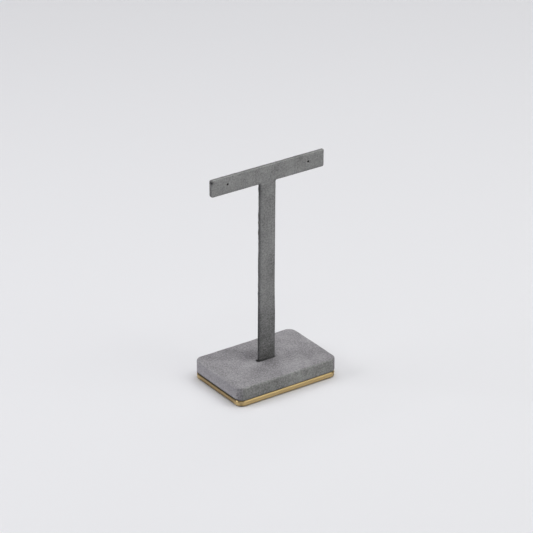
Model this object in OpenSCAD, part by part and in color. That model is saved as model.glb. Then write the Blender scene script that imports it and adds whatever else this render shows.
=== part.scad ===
// Earring T-bar display: a suede-covered T on a suede-covered pad with a brass plate under it.
// +Z is up and the origin is on the table under the middle of the pad.
// The bar runs along X, and its front faces -Y. All lengths are in millimetres.

/* [Overall] */
// Height from the table to the top of the bar
display_h = 150; // [100:1:240]

/* [Pad] */
// Length of the pad along the bar
pad_l = 77.3; // [60:0.1:140]
// Width of the pad from front to back
pad_w = 52; // [44:0.1:100]
// Height of the pad above the plate
pad_h = 9.2; // [7.5:0.1:14]
// Radius of the pad's upright corners
pad_corner_r = 5.2; // [3:0.1:12]
// Radius of the pad's soft top edge
pad_top_r = 1.4; // [0.9:0.1:2.4]
// Radius of the roll where the cover turns under the pad
pad_roll_r = 0.8; // [0.8:0.1:1.6]
// Thickness of the suede on the pad
skin_t = 0.6; // [0.4:0.05:0.7]
// Width of the hem that is glued under the pad
hem_w = 8; // [5:0.5:10]
// Gap that is left between the hem and the block's raised seat
hem_gap = 0.3; // [0.1:0.1:1]
// Radius of the corners of the block's raised seat
seat_corner_r = 1.5; // [0.5:0.1:5]
// Width of the slit cut in the hem at each corner
mitre_gap = 0.4; // [0.2:0.1:1]

/* [Slot in the pad] */
// Clearance between the upright's faces and the lip of the slot
slot_gap = 0.15; // [0.1:0.05:0.4]
// Radius of the suede where it dips into the slot
lip_r = 0.9; // [0.8:0.1:1.5]
// Depth that the lip reaches below the top of the pad
lip_depth = 2.5; // [1.8:0.1:4]

/* [Plate] */
// Thickness of the brass plate
plate_t = 3.9; // [2.6:0.1:8]
// How far each end of the plate lies inside the pad
plate_end_inset = 0.35; // [0:0.05:1.5]
// How far each long side of the plate lies inside the pad
plate_side_inset = 0.15; // [0:0.05:1.5]
// Size of the bevel along the plate's top edge
plate_top_bevel = 1; // [0.3:0.1:1.2]
// Size of the bevel along the plate's bottom edge
plate_foot_bevel = 0.6; // [0.3:0.1:1.2]

/* [Liner under the plate] */
// Thickness of the felt liner
liner_t = 0.3; // [0.3:0.1:2]
// How far the liner's edge lies inside the plate
liner_inset = 1.6; // [1.2:0.1:4]

/* [Screws] */
// Distance from the inner edge of the hem to each screw
screw_from_hem = 3; // [2.2:0.1:6]
// Diameter of the screws
screw_d = 3; // [2:0.5:4]
// Diameter of the countersunk heads
screw_head_d = 5.6; // [5:0.1:6]
// Length of screw that bites into the block
screw_bite = 5; // [3:0.5:6]
// Length of the screw's point
screw_point = 1.5; // [0.5:0.1:2.5]
// Clearance round a screw in the plate and in the block
screw_fit = 0.05; // [0.02:0.01:0.3]

/* [T upright] */
// Length of the bar
bar_l = 85.7; // [60:0.1:140]
// Height of the bar
bar_h = 11.5; // [8:0.1:24]
// Radius of the bar's outer corners
bar_corner_r = 1.2; // [0.7:0.1:3]
// Width of the stem
stem_w = 11.6; // [7:0.1:24]
// Radius in the corners between the bar and the stem
elbow_r = 0.9; // [0.3:0.1:3]
// Thickness of the steel sheet inside the T
steel_t = 1.5; // [1:0.1:2.5]
// Thickness of the suede on the T
suede_t = 0.5; // [0.3:0.05:0.7]
// Radius of the suede where it turns over the front edges
turn_r = 0.4; // [0.2:0.05:0.5]
// How far the back sheet stops short of the T's edges
back_inset = 0.1; // [0.1:0.05:0.6]

/* [Foot of the steel] */
// Length of the foot behind the middle of the stem
foot_l = 11; // [8:0.5:16]
// Inner radius of the bend above the foot
bend_r = 1.5; // [0.8:0.1:2]
// Clearance round the foot in the block's pocket
foot_fit = 0.15; // [0.05:0.05:0.4]
// Length of stem left bare above the bend
bare_l = 0.5; // [0.2:0.1:1.5]

/* [Pin holes] */
// Diameter of the holes for the earring posts
pin_hole_d = 1.2; // [0.8:0.1:2]
// Distance from each end of the bar to its pin hole
pin_hole_inset = 12.2; // [5:0.1:16]
// Distance from the top of the bar down to the pin holes
pin_hole_drop = 5.2; // [2:0.1:6]

/* [Hidden] */
$fn = 64;
suede = [0.46, 0.46, 0.47];
// How far a cutting solid runs past the face it cuts
past = 1;
plate_top = liner_t + plate_t;
pad_top = plate_top + pad_h;
plate_l = pad_l - 2 * plate_end_inset;
plate_w = pad_w - 2 * plate_side_inset;
plate_r = pad_corner_r - max(plate_end_inset, plate_side_inset);
upright_t = steel_t + 2 * suede_t;
steel_w = stem_w - 2 * suede_t;
bar_foot = display_h - bar_h;
slot_r = upright_t / 2 + slot_gap;
bend_top = plate_top + steel_t + bend_r;
suede_foot = bend_top + bare_l;
screw_x = pad_l / 2 - hem_w - screw_from_hem;
screw_y = pad_w / 2 - hem_w - screw_from_hem;
head_h = (screw_head_d - screw_d) / 2;

// Sweeps a profile round a rounded rectangle. The profile is drawn from x = 0, at the corner
// centres, out to its reach. The corner centres are span_l by span_w apart, and flat_h is the
// height of the profile at x = 0.
module swept_round(span_l, span_w, flat_h) {
    if (span_w > 0) translate([-span_l / 2, -span_w / 2, 0]) cube([span_l, span_w, flat_h]);
    for (half = [0, 180]) rotate(half) {
        translate([span_l / 2, span_w / 2, 0]) rotate_extrude(angle = 90) children();
        translate([span_l / 2, -span_w / 2, 0]) rotate(-90) rotate_extrude(angle = 90) children();
        translate([-span_l / 2, span_w / 2, 0]) rotate([90, 0, 90]) linear_extrude(span_l) children();
        if (span_w > 0)
            translate([span_l / 2, span_w / 2, 0]) rotate([90, 0, 0]) linear_extrude(span_w) children();
    }
}

// What is taken off a square corner at the origin to round it. The corner points to +X +Y.
module corner_waste(r) {
    translate([-r, -r]) difference() {
        square(r + past);
        circle(r);
    }
}

// Slab with rounded upright corners, a rounded top edge and, where roll_r is above 0, a rounded foot
module soft_slab(l, w, h, r, top_r, roll_r = 0) {
    swept_round(l - 2 * r, w - 2 * r, h) difference() {
        square([r, h]);
        translate([r, h]) corner_waste(top_r);
        if (roll_r > 0) translate([r, 0]) rotate(-90) corner_waste(roll_r);
    }
}

// Slab with rounded upright corners and a flat bevel along its top and bottom edges
module bevelled_slab(l, w, h, r, top_bevel, foot_bevel) {
    swept_round(l - 2 * r, w - 2 * r, h) polygon([
        [0, 0], [r - foot_bevel, 0], [r, foot_bevel],
        [r, h - top_bevel], [r - top_bevel, h], [0, h]
    ]);
}

// Solid that fills the slot for the upright, with round ends and a flared mouth at the top
module slot_solid(r, foot, mouth, flare) {
    translate([0, 0, foot]) swept_round(stem_w, 0, mouth - foot) {
        square([r, mouth - foot]);
        translate([0, mouth - foot - flare]) difference() {
            square([r + flare, flare]);
            translate([r + flare, 0]) circle(flare);
        }
    }
}

module at_screws() {
    for (x = [-screw_x, screw_x], y = [-screw_y, screw_y]) translate([x, y, 0]) children();
}

module at_pin_holes() {
    for (side = [-1, 1])
        translate([side * (bar_l / 2 - pin_hole_inset), 0, display_h - pin_hole_drop]) children();
}

module pin_holes() {
    at_pin_holes() rotate([90, 0, 0]) cylinder(d = pin_hole_d, h = upright_t + 2 * past, center = true);
}

// Outline of the T, taken in by inset all round. Drawn with the height along Y.
module t_outline(inset, foot) {
    r = bar_corner_r - inset;
    half_l = bar_l / 2 - inset;
    low = bar_foot + inset;
    high = display_h - inset;
    translate([-half_l, low + r]) square([2 * half_l, high - low - 2 * r]);
    translate([-half_l + r, low]) square([2 * (half_l - r), high - low]);
    for (x = [-half_l + r, half_l - r], y = [low + r, high - r]) translate([x, y]) circle(r);
    translate([inset - stem_w / 2, foot]) square([stem_w - 2 * inset, low + r - foot]);
    elbows(inset, elbow_r + inset);
}

// Rounded fillings in the two corners between the bar and the stem
module elbows(inset, r) {
    for (side = [0, 1]) mirror([side, 0])
        translate([stem_w / 2 - inset, bar_foot + inset - r]) difference() {
            square(r);
            translate([r, 0]) circle(r);
        }
}

// Stands an outline up so that it runs from y = front to y = back
module upright_sheet(front, back) {
    translate([0, back, 0]) rotate([90, 0, 0]) linear_extrude(back - front) children();
}

module underside_liner() {
    color([0.16, 0.16, 0.17]) swept_round(plate_l - 2 * plate_r, plate_w - 2 * plate_r, liner_t)
        square([plate_r - liner_inset, liner_t]);
}

module base_plate() {
    color([0.72, 0.6, 0.4]) difference() {
        translate([0, 0, liner_t])
            bevelled_slab(plate_l, plate_w, plate_t, plate_r, plate_top_bevel, plate_foot_bevel);
        at_screws() {
            translate([0, 0, liner_t - past]) cylinder(d = screw_d + 2 * screw_fit, h = plate_t + 2 * past);
            screw_head(screw_fit);
        }
    }
}

// Countersunk head, flush with the underside of the plate and larger by fit all round
module screw_head(fit) {
    low = fit > 0 ? past : 0;
    translate([0, 0, liner_t - low])
        cylinder(h = head_h + low, r1 = screw_head_d / 2 + fit + low, r2 = screw_d / 2 + fit);
}

module plate_screws() {
    color([0.7, 0.7, 0.72]) at_screws() {
        screw_head(0);
        translate([0, 0, liner_t]) cylinder(d = screw_d, h = plate_t + screw_bite - screw_point);
        translate([0, 0, plate_top + screw_bite - screw_point])
            cylinder(h = screw_point, d1 = screw_d, d2 = screw_d / 4);
    }
}

// The block without its cuts: a soft-edged slab over a raised seat that the hem fits round
module core_blank() {
    seat_inset = hem_w + hem_gap + seat_corner_r;
    translate([0, 0, plate_top + skin_t]) soft_slab(pad_l - 2 * skin_t, pad_w - 2 * skin_t,
        pad_h - 2 * skin_t, pad_corner_r - skin_t, pad_top_r - skin_t, pad_roll_r - skin_t);
    translate([0, 0, plate_top])
        swept_round(pad_l - 2 * seat_inset, pad_w - 2 * seat_inset, 2 * skin_t)
            square([seat_corner_r, 2 * skin_t]);
}

// Section of the pocket for the foot, drawn with y along X and the height above the plate along Y
module foot_pocket_section() {
    translate([-steel_t / 2 - foot_fit, -past])
        square([foot_l + steel_t / 2 + 2 * foot_fit, steel_t + foot_fit + past]);
    translate([steel_t / 2, steel_t]) difference() {
        square(bend_r);
        translate([bend_r, bend_r]) circle(bend_r - foot_fit);
    }
}

module base_core() {
    pocket_w = steel_w + 2 * foot_fit;
    color([0.62, 0.48, 0.34]) difference() {
        core_blank();
        slot_solid(slot_r + skin_t, plate_top - past, pad_top - skin_t, lip_r - skin_t);
        translate([-pocket_w / 2, 0, plate_top]) rotate([90, 0, 90]) linear_extrude(pocket_w)
            foot_pocket_section();
        at_screws() translate([0, 0, plate_top - past])
            cylinder(d = screw_d + 2 * screw_fit, h = screw_bite + past);
    }
}

// Suede over the block, with its hem turned under and its lip tucked into the slot
module base_cover() {
    mitre_l = hem_w * sqrt(2);
    color(suede) difference() {
        union() {
            difference() {
                translate([0, 0, plate_top])
                    soft_slab(pad_l, pad_w, pad_h, pad_corner_r, pad_top_r, pad_roll_r);
                core_blank();
            }
            slot_solid(slot_r + skin_t, pad_top - lip_depth, pad_top - skin_t, lip_r - skin_t);
        }
        slot_solid(slot_r, pad_top - lip_depth - past, pad_top, lip_r);
        for (x = [-1, 1], y = [-1, 1])
            translate([x * (pad_l / 2 - hem_w), y * (pad_w / 2 - hem_w), plate_top - past])
                rotate(atan2(y, x)) translate([-mitre_gap, -mitre_gap / 2, 0])
                    cube([mitre_l - pad_corner_r + mitre_gap, mitre_gap, skin_t + past]);
    }
}

// Steel T with its foot bent back under the block
module upright_core() {
    color([0.6, 0.61, 0.63]) difference() {
        union() {
            upright_sheet(-steel_t / 2, steel_t / 2) t_outline(suede_t, bend_top);
            translate([-steel_w / 2, steel_t / 2 + bend_r, bend_top]) rotate([0, 90, 0])
                rotate_extrude(angle = -90) translate([bend_r, 0]) square([steel_t, steel_w]);
            translate([-steel_w / 2, steel_t / 2 + bend_r, plate_top])
                cube([steel_w, foot_l - steel_t / 2 - bend_r, steel_t]);
        }
        pin_holes();
    }
}

// Front suede, turned over the edges of the steel as far as its back
module upright_cover_front() {
    front_t = steel_t + suede_t;
    back = steel_t / 2;
    color(suede) difference() {
        union() {
            translate([0, back, display_h - bar_h / 2]) rotate([90, 0, 0])
                soft_slab(bar_l, bar_h, front_t, bar_corner_r, turn_r);
            translate([0, back, suede_foot]) linear_extrude(bar_foot + bar_h / 2 - suede_foot)
                difference() {
                    translate([-stem_w / 2, -front_t]) square([stem_w, front_t]);
                    for (side = [0, 1]) mirror([side, 0])
                        translate([stem_w / 2, -front_t]) rotate(-90) corner_waste(turn_r);
                }
            upright_sheet(turn_r - front_t + back, back) elbows(0, elbow_r);
        }
        upright_sheet(-steel_t / 2, steel_t / 2 + past) t_outline(suede_t, suede_foot - past);
        pin_holes();
    }
}

module upright_cover_back() {
    color(suede) difference() {
        upright_sheet(steel_t / 2, upright_t / 2) t_outline(back_inset, suede_foot);
        pin_holes();
    }
}

underside_liner();
base_plate();
plate_screws();
base_core();
base_cover();
upright_core();
upright_cover_front();
upright_cover_back();
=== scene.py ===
"""Looks of an earring T-bar display: suede over a steel T, on a suede pad with a brass plate.

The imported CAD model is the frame. The suede covers, the plate, its screws and the felt liner are
built here in the place of their solids. The block and the steel T keep theirs and get a finish.
Lengths are in millimetres up to the moment when a mesh is made, and all pieces stand in the CAD
model's own frame.
"""

import logging
import math
from dataclasses import dataclass
from enum import Enum
from typing import Callable, Iterable, Sequence

import bmesh
import bpy
import numpy as np
from mathutils import Matrix, Vector, noise
from mathutils.geometry import delaunay_2d_cdt


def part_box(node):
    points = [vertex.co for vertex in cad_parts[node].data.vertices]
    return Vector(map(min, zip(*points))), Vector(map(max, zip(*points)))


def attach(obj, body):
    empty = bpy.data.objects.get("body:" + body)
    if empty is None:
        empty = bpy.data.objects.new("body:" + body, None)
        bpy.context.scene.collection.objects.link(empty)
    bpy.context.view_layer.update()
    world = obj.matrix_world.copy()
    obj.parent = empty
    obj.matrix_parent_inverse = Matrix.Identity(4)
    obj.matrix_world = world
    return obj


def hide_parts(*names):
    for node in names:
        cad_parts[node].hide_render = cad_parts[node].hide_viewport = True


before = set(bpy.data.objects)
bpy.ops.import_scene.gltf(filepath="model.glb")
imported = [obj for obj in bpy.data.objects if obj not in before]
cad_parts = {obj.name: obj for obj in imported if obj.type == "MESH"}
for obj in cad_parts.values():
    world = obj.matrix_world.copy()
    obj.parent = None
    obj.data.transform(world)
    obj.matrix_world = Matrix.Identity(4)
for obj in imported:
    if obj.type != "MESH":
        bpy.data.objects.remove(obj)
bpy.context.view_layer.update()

LOG = logging.getLogger("earring_display")
MM = 0.001
PHOTO_SIDE = 533
BODY = "root"

# Points, and the vertex numbers of each face
Shell = tuple[np.ndarray, list[tuple[int, ...]]]


# Small tools


def linear(hex_colour: str) -> tuple[float, float, float, float]:
    """Turns an sRGB hex colour into a linear colour.

    Args:
        hex_colour: Six hex digits after a hash sign.

    Returns:
        Red, green, blue and an alpha of 1.
    """
    parts = [int(hex_colour[i : i + 2], 16) / 255 for i in (1, 3, 5)]
    red, green, blue = (c / 12.92 if c <= 0.04045 else ((c + 0.055) / 1.055) ** 2.4 for c in parts)
    return red, green, blue, 1.0


def add(tree: bpy.types.NodeTree, kind: str, inputs: dict | None = None, **settings) -> bpy.types.Node:
    """Adds a node with its settings and links.

    Args:
        tree: Tree that the node goes into.
        kind: Blender's type name of the node.
        inputs: Input name or number, with the value or the socket that feeds it.
        settings: Attributes set on the node itself.

    Returns:
        The new node.
    """
    node = tree.nodes.new(kind)
    for name, value in settings.items():
        setattr(node, name, value)
    for key, value in (inputs or {}).items():
        if isinstance(value, bpy.types.NodeSocket):
            tree.links.new(value, node.inputs[key])
        else:
            node.inputs[key].default_value = value
    return node


def ripple(point: Sequence[float], size: float, seed: float) -> float:
    """Smooth noise from -1 to 1 at a point.

    Args:
        point: Place in millimetres.
        size: Width of one ripple in millimetres.
        seed: Shifts the noise, so that pieces differ.

    Returns:
        The noise value.
    """
    return noise.noise(Vector(point) / size + Vector((seed, -seed, 2 * seed)))


def ramp(value: float, start: float, stop: float) -> float:
    """Share that grows straight from 0 at one value to 1 at another, and is level past them."""
    return min(max((value - start) / (stop - start), 0.0), 1.0)


def ease(share: float) -> float:
    """Bends a share so that it leaves 0 and reaches 1 softly."""
    return share * share * (3 - 2 * share)


def bell(distance: float, reach: float) -> float:
    """Share that falls from 1 at no distance to about a third at the reach, and fades past it."""
    return math.exp(-((distance / reach) ** 2))


def piece_from(
    name: str, points: np.ndarray, faces: Iterable[Sequence[int]], smooth: bool = True
) -> bpy.types.Object:
    """Makes an object from points in millimetres, with doubles merged and faces turned outwards.

    Args:
        name: Name of the piece.
        points: One row of x, y and z for each vertex.
        faces: Vertex numbers of each face.
        smooth: Whether the faces are shaded smooth.

    Returns:
        The object, linked to the scene.
    """
    mesh = bpy.data.meshes.new(name)
    mesh.from_pydata((points * MM).tolist(), [], [tuple(f) for f in faces])
    work = bmesh.new()
    work.from_mesh(mesh)
    bmesh.ops.remove_doubles(work, verts=work.verts, dist=1e-7)
    bmesh.ops.recalc_face_normals(work, faces=work.faces)
    for face in work.faces:
        face.smooth = smooth
    work.to_mesh(mesh)
    work.free()
    piece = bpy.data.objects.new(name, mesh)
    bpy.context.scene.collection.objects.link(piece)
    return piece


class Ends(Enum):
    """What a loft does with its first and last ring."""

    OPEN = "left open"
    JOINED = "joined to each other"
    CAPPED = "each closed with one face"


def loft(rings: Sequence[np.ndarray], ends: Ends) -> Shell:
    """Joins rings of equal length with quads.

    Args:
        rings: Closed rings of points, each with the same number of rows.
        ends: What becomes of the first and the last ring.

    Returns:
        All points, and the faces as vertex numbers.
    """
    count, size = len(rings), len(rings[0])
    faces = []
    for k in range(count if ends is Ends.JOINED else count - 1):
        here, there = k * size, (k + 1) % count * size
        for i in range(size):
            j = (i + 1) % size
            faces.append((here + i, here + j, there + j, there + i))
    if ends is Ends.CAPPED:
        last = (count - 1) * size
        faces += [tuple(range(size))[::-1], tuple(range(last, last + size))]
    return np.concatenate(rings), faces


def merge(shells: Sequence[Shell]) -> Shell:
    """Puts several shells into one, with their vertices numbered on.

    Args:
        shells: The shells in order.

    Returns:
        One shell of all their points and faces.
    """
    start, faces = 0, []
    for points, own in shells:
        faces += [tuple(i + start for i in face) for face in own]
        start += len(points)
    return np.concatenate([points for points, _ in shells]), faces


def arc(cx: float, cy: float, r: float, start: float, stop: float, steps: int) -> np.ndarray:
    """Points along an arc, both ends included.

    Args:
        cx: Centre along the first axis.
        cy: Centre along the second axis.
        r: Radius.
        start: First angle in degrees.
        stop: Last angle in degrees.
        steps: Number of steps.

    Returns:
        One row for each point.
    """
    turn = np.radians(np.linspace(start, stop, steps + 1))
    return np.stack([cx + r * np.cos(turn), cy + r * np.sin(turn)], axis=1)


def run(a: Sequence[float], b: Sequence[float], steps: int) -> np.ndarray:
    """Points along a straight line, both ends included."""
    return np.linspace(a, b, steps + 1)


def join(*parts: np.ndarray) -> np.ndarray:
    """Chains runs and arcs, dropping the point that each shares with the next."""
    return np.concatenate([p[:-1] for p in parts[:-1]] + [parts[-1]])


def four_fold(quarter: np.ndarray) -> np.ndarray:
    """Mirrors a quarter outline into a whole ring.

    Args:
        quarter: Points from the +X axis round to the +Y axis, both ends included.

    Returns:
        The closed ring, with no point twice.
    """
    back = quarter[:0:-1]
    return np.concatenate(
        [quarter[:-1], back * (-1, 1), quarter[:-1] * (-1, -1), back * (1, -1)]
    )


def rounded(l: float, w: float, r: float, steps: tuple[int, int, int]) -> np.ndarray:
    """Ring round a rectangle with rounded corners.

    Args:
        l: Half its length.
        w: Half its width.
        r: Radius of its corners.
        steps: Steps on half an end, round a corner and on half a side.

    Returns:
        The closed ring.
    """
    end, corner, side = steps
    quarter = join(
        run((l, 0), (l, w - r), end), arc(l - r, w - r, r, 0, 90, corner), run((l - r, w), (0, w), side)
    )
    return four_fold(quarter)


def fillet(r: float, steps: int) -> list[tuple[float, float]]:
    """Rounds a square edge.

    Args:
        r: Radius of the round.
        steps: Number of steps.

    Returns:
        Pairs of distances in from one wall and from the other. The first goes from r down to 0
        as the second goes from 0 up to r.
    """
    turns = np.radians(np.linspace(0, 90, steps + 1))
    return [(r * (1 - np.sin(turn)), r * (1 - np.cos(turn))) for turn in turns]


def lift(ring: np.ndarray, z: float | np.ndarray) -> np.ndarray:
    """Gives a flat ring its height."""
    return np.column_stack([ring, np.broadcast_to(z, len(ring))])


def stand(ring: np.ndarray, y: float) -> np.ndarray:
    """Gives a ring of X and Z its depth."""
    return np.column_stack([ring[:, 0], np.full(len(ring), y), ring[:, 1]])


def wear(piece: bpy.types.Object, name: str, value: Callable[[Vector], float]) -> None:
    """Stores a number on each vertex, which a finish reads by name.

    Args:
        piece: Mesh object that gets the attribute.
        name: Name of the attribute.
        value: Gives the number from the vertex's place in millimetres.
    """
    layer = piece.data.attributes.new(name, "FLOAT", "POINT")
    layer.data.foreach_set("value", [value(v.co / MM) for v in piece.data.vertices])


# Finishes


@dataclass(frozen=True)
class Finish:
    """A named surface finish, made once and shared by the pieces that have it."""

    name: str

    def surface(self, tree: bpy.types.NodeTree) -> bpy.types.Node:
        """Builds the shader in a tree and returns it."""
        raise NotImplementedError

    def material(self) -> bpy.types.Material:
        """Gives the finish as a material, made on first use.

        Returns:
            The material.
        """
        found = bpy.data.materials.get(self.name)
        if found:
            return found
        made = bpy.data.materials.new(self.name)
        made.use_nodes = True
        tree = made.node_tree
        tree.nodes.clear()
        add(tree, "ShaderNodeOutputMaterial", {"Surface": self.surface(tree).outputs[0]})
        return made

    def grain(
        self, tree: bpy.types.NodeTree, size_mm: float | Sequence[float], detail: float = 2.0
    ) -> bpy.types.NodeSocket:
        """Adds noise whose features have a real size.

        Args:
            tree: Tree that the noise goes into.
            size_mm: Feature size, or one for each axis where the grain is drawn out.
            detail: Octaves of finer noise on top.

        Returns:
            The socket that carries the noise, from 0 to 1.
        """
        sizes = np.broadcast_to(size_mm, 3)
        place = add(tree, "ShaderNodeTexCoord").outputs["Object"]
        per_metre = [1 / (s * MM) for s in sizes]
        scaled = add(tree, "ShaderNodeVectorMath", {0: place, 1: per_metre}, operation="MULTIPLY")
        noise_inputs = {"Vector": scaled.outputs[0], "Scale": 1.0, "Detail": detail}
        return add(tree, "ShaderNodeTexNoise", noise_inputs).outputs[0]

    def blend(
        self, tree: bpy.types.NodeTree, terms: Sequence[tuple[bpy.types.NodeSocket, float]]
    ) -> bpy.types.NodeSocket:
        """Adds up noises about their middle value.

        Args:
            tree: Tree that the sum goes into.
            terms: Noise sockets with their weights.

        Returns:
            The socket of 0.5 plus each weight times its noise less a half.
        """
        total = 0.5 - sum(weight for _, weight in terms) / 2
        for socket, weight in terms:
            term = {0: socket, 1: weight, 2: total}
            total = add(tree, "ShaderNodeMath", term, operation="MULTIPLY_ADD").outputs[0]
        return total


@dataclass(frozen=True)
class MicrofibreSuede(Finish):
    """Microfibre suede: split fibres sanded to a short nap, which gives soft matt grey that
    mottles where the nap leans another way, and pales a little at a glancing angle."""

    dark: str
    light: str
    # Colour of the glue on the T's turned sides, and of the painted shade in the slot, under the pad,
    # in creases and in pin holes
    edge: str
    # Colour of the light that the tips of the fibres catch
    tips: str = "#d8d8dc"
    # What is left of each colour where painted sheen is taken off: the tips' violet cast at a glancing
    # angle, painted out of the side seen squarely
    painted_sheen_loss: str = "#ffffff"
    # Patches where the nap has been brushed another way
    patch_mm: float = 11.0
    # Tufts of nap, and its fibres. They are 0.02 mm, and are drawn fifteen times as coarse to show
    tuft_mm: float = 1.1
    fibre_mm: float = 0.3
    relief_mm: float = 0.2

    def surface(self, tree: bpy.types.NodeTree) -> bpy.types.Node:
        """Builds the suede.

        Args:
            tree: Tree that the shader goes into.

        Returns:
            The shader.
        """
        patch = self.grain(tree, self.patch_mm, 3.0)
        tuft = self.grain(tree, self.tuft_mm, 2.0)
        fibre = self.grain(tree, self.fibre_mm, 1.0)
        # The attribute shifts the tone: by nap marks, and by painted light and shade on the pad's sides
        # and on the T
        lean = add(tree, "ShaderNodeAttribute", attribute_name="nap").outputs["Fac"]
        share = self.blend(tree, [(patch, 0.7), (tuft, 1.1), (fibre, 0.9)])
        share_with_painted_light = add(tree, "ShaderNodeMath", {0: share, 1: lean}, operation="ADD").outputs[0]
        nap = {0: share_with_painted_light, 6: linear(self.dark), 7: linear(self.light)}
        colour = add(tree, "ShaderNodeMix", nap, data_type="RGBA").outputs[2]
        # The edge attribute mixes in glue and painted shade, and the front's attribute takes painted
        # sheen off
        for mark, tone, how in (("edge", self.edge, "MIX"), ("painted_sheen_loss", self.painted_sheen_loss, "MULTIPLY")):
            worn = add(tree, "ShaderNodeAttribute", attribute_name=mark).outputs["Fac"]
            mix = {0: worn, 6: colour, 7: linear(tone)}
            colour = add(tree, "ShaderNodeMix", mix, data_type="RGBA", blend_type=how).outputs[2]
        height = self.blend(tree, [(tuft, 0.6), (fibre, 0.5)])
        relief = {"Height": height, "Strength": 0.5, "Distance": self.relief_mm * MM}
        bump = add(tree, "ShaderNodeBump", relief).outputs[0]
        return add(
            tree,
            "ShaderNodeBsdfPrincipled",
            {
                "Base Color": colour,
                "Roughness": 0.95,
                "Specular IOR Level": 0.15,
                "Sheen Weight": 0.25,
                "Sheen Roughness": 0.45,
                "Sheen Tint": linear(self.tips),
                "Normal": bump,
            },
        )


@dataclass(frozen=True)
class SatinBrass(Finish):
    """Brass plate, its edges brushed along their length and clear-lacquered: warm and satin.
    The fine lines draw each reflection out across them, so that a lamp shows as an upright
    streak where the plate's corner turns through it."""

    dark: str
    light: str
    painted_dark_tone: str
    # Spacing of the brush lines, how far each runs, and their depth
    line_mm: float = 0.28
    run_mm: float = 40.0
    relief_mm: float = 0.05
    cloud_mm: float = 9.0
    # Roughness in the smoothest line, and in the roughest
    roughness: tuple[float, float] = (0.24, 0.4)
    # How squarely a face looks up or down to be the plate's top or underside
    flat_from: float = 0.9

    def surface(self, tree: bpy.types.NodeTree) -> bpy.types.Node:
        """Builds the brass.

        Args:
            tree: Tree that the shader goes into.

        Returns:
            The shader.
        """
        on_edges = self.grain(tree, (self.run_mm, self.run_mm, self.line_mm), 2.0)
        on_faces = self.grain(tree, (self.run_mm, self.line_mm, self.run_mm), 2.0)
        normal = add(tree, "ShaderNodeNewGeometry").outputs["Normal"]
        upward = add(tree, "ShaderNodeSeparateXYZ", {0: normal}).outputs[2]
        flat = add(tree, "ShaderNodeMath", {0: upward}, operation="ABSOLUTE").outputs[0]
        level = {0: flat, 1: self.flat_from}
        is_face = add(tree, "ShaderNodeMath", level, operation="GREATER_THAN").outputs[0]
        lines = add(tree, "ShaderNodeMix", {0: is_face, 2: on_edges, 3: on_faces}).outputs[0]
        cloud = self.grain(tree, self.cloud_mm, 3.0)
        smooth, scratched = self.roughness
        rough = add(tree, "ShaderNodeMapRange", {0: lines, 3: smooth, 4: scratched}).outputs[0]
        relief = {"Height": lines, "Strength": 0.25, "Distance": self.relief_mm * MM}
        bump = add(tree, "ShaderNodeBump", relief).outputs[0]
        share = self.blend(tree, [(lines, 0.7), (cloud, 0.4)])
        polish = {0: share, 6: linear(self.dark), 7: linear(self.light)}
        polished = add(tree, "ShaderNodeMix", polish, data_type="RGBA").outputs[2]
        # Painted dark reflection and shade, mixed towards the third colour
        painted_dark_share = add(tree, "ShaderNodeAttribute", attribute_name="painted_reflection_and_shade").outputs["Fac"]
        painted_mix = {0: painted_dark_share, 6: polished, 7: linear(self.painted_dark_tone)}
        colour = add(tree, "ShaderNodeMix", painted_mix, data_type="RGBA").outputs[2]
        # Nearly upright, so that it lies across the lines on every edge and is sound on a flat face
        across = add(tree, "ShaderNodeCombineXYZ", {0: 0.01, 1: 0.02, 2: 1.0}).outputs[0]
        return add(
            tree,
            "ShaderNodeBsdfPrincipled",
            {
                "Base Color": colour,
                "Metallic": 1.0,
                "Roughness": rough,
                "Anisotropic": 0.85,
                "Tangent": across,
                "Normal": bump,
            },
        )


@dataclass(frozen=True)
class RolledSteel(Finish):
    """Cold-rolled mild steel sheet, cut by laser: dull grey, with faint streaks along the rolling
    direction, and nearly black with oxide on its cut edges and in its holes."""

    dark: str = "#77797c"
    light: str = "#9b9da0"
    cut_edge: str = "#2b2a2a"
    streak_mm: tuple[float, float, float] = (0.4, 0.4, 30.0)
    relief_mm: float = 0.03
    # How squarely a face looks across the sheet, from a cut edge to the sheet's own broad face
    broad_from: tuple[float, float] = (0.4, 0.8)

    def surface(self, tree: bpy.types.NodeTree) -> bpy.types.Node:
        """Builds the steel.

        Args:
            tree: Tree that the shader goes into.

        Returns:
            The shader.
        """
        streak = self.grain(tree, self.streak_mm, 3.0)
        cloud = self.grain(tree, 6.0, 2.0)
        relief = {"Height": streak, "Strength": 0.2, "Distance": self.relief_mm * MM}
        bump = add(tree, "ShaderNodeBump", relief).outputs[0]
        share = self.blend(tree, [(streak, 0.8), (cloud, 0.4)])
        rolled = {0: share, 6: linear(self.dark), 7: linear(self.light)}
        sheet = add(tree, "ShaderNodeMix", rolled, data_type="RGBA").outputs[2]
        normal = add(tree, "ShaderNodeNewGeometry").outputs["Normal"]
        facing = add(tree, "ShaderNodeSeparateXYZ", {0: normal}).outputs[1]
        broad = add(tree, "ShaderNodeMath", {0: facing}, operation="ABSOLUTE").outputs[0]
        low, high = self.broad_from
        cut = add(tree, "ShaderNodeMapRange", {0: broad, 1: low, 2: high, 3: 1.0, 4: 0.0}).outputs[0]
        oxide = {0: cut, 6: sheet, 7: linear(self.cut_edge)}
        colour = add(tree, "ShaderNodeMix", oxide, data_type="RGBA").outputs[2]
        return add(
            tree,
            "ShaderNodeBsdfPrincipled",
            {"Base Color": colour, "Metallic": 1.0, "Roughness": 0.42, "Normal": bump},
        )


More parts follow.
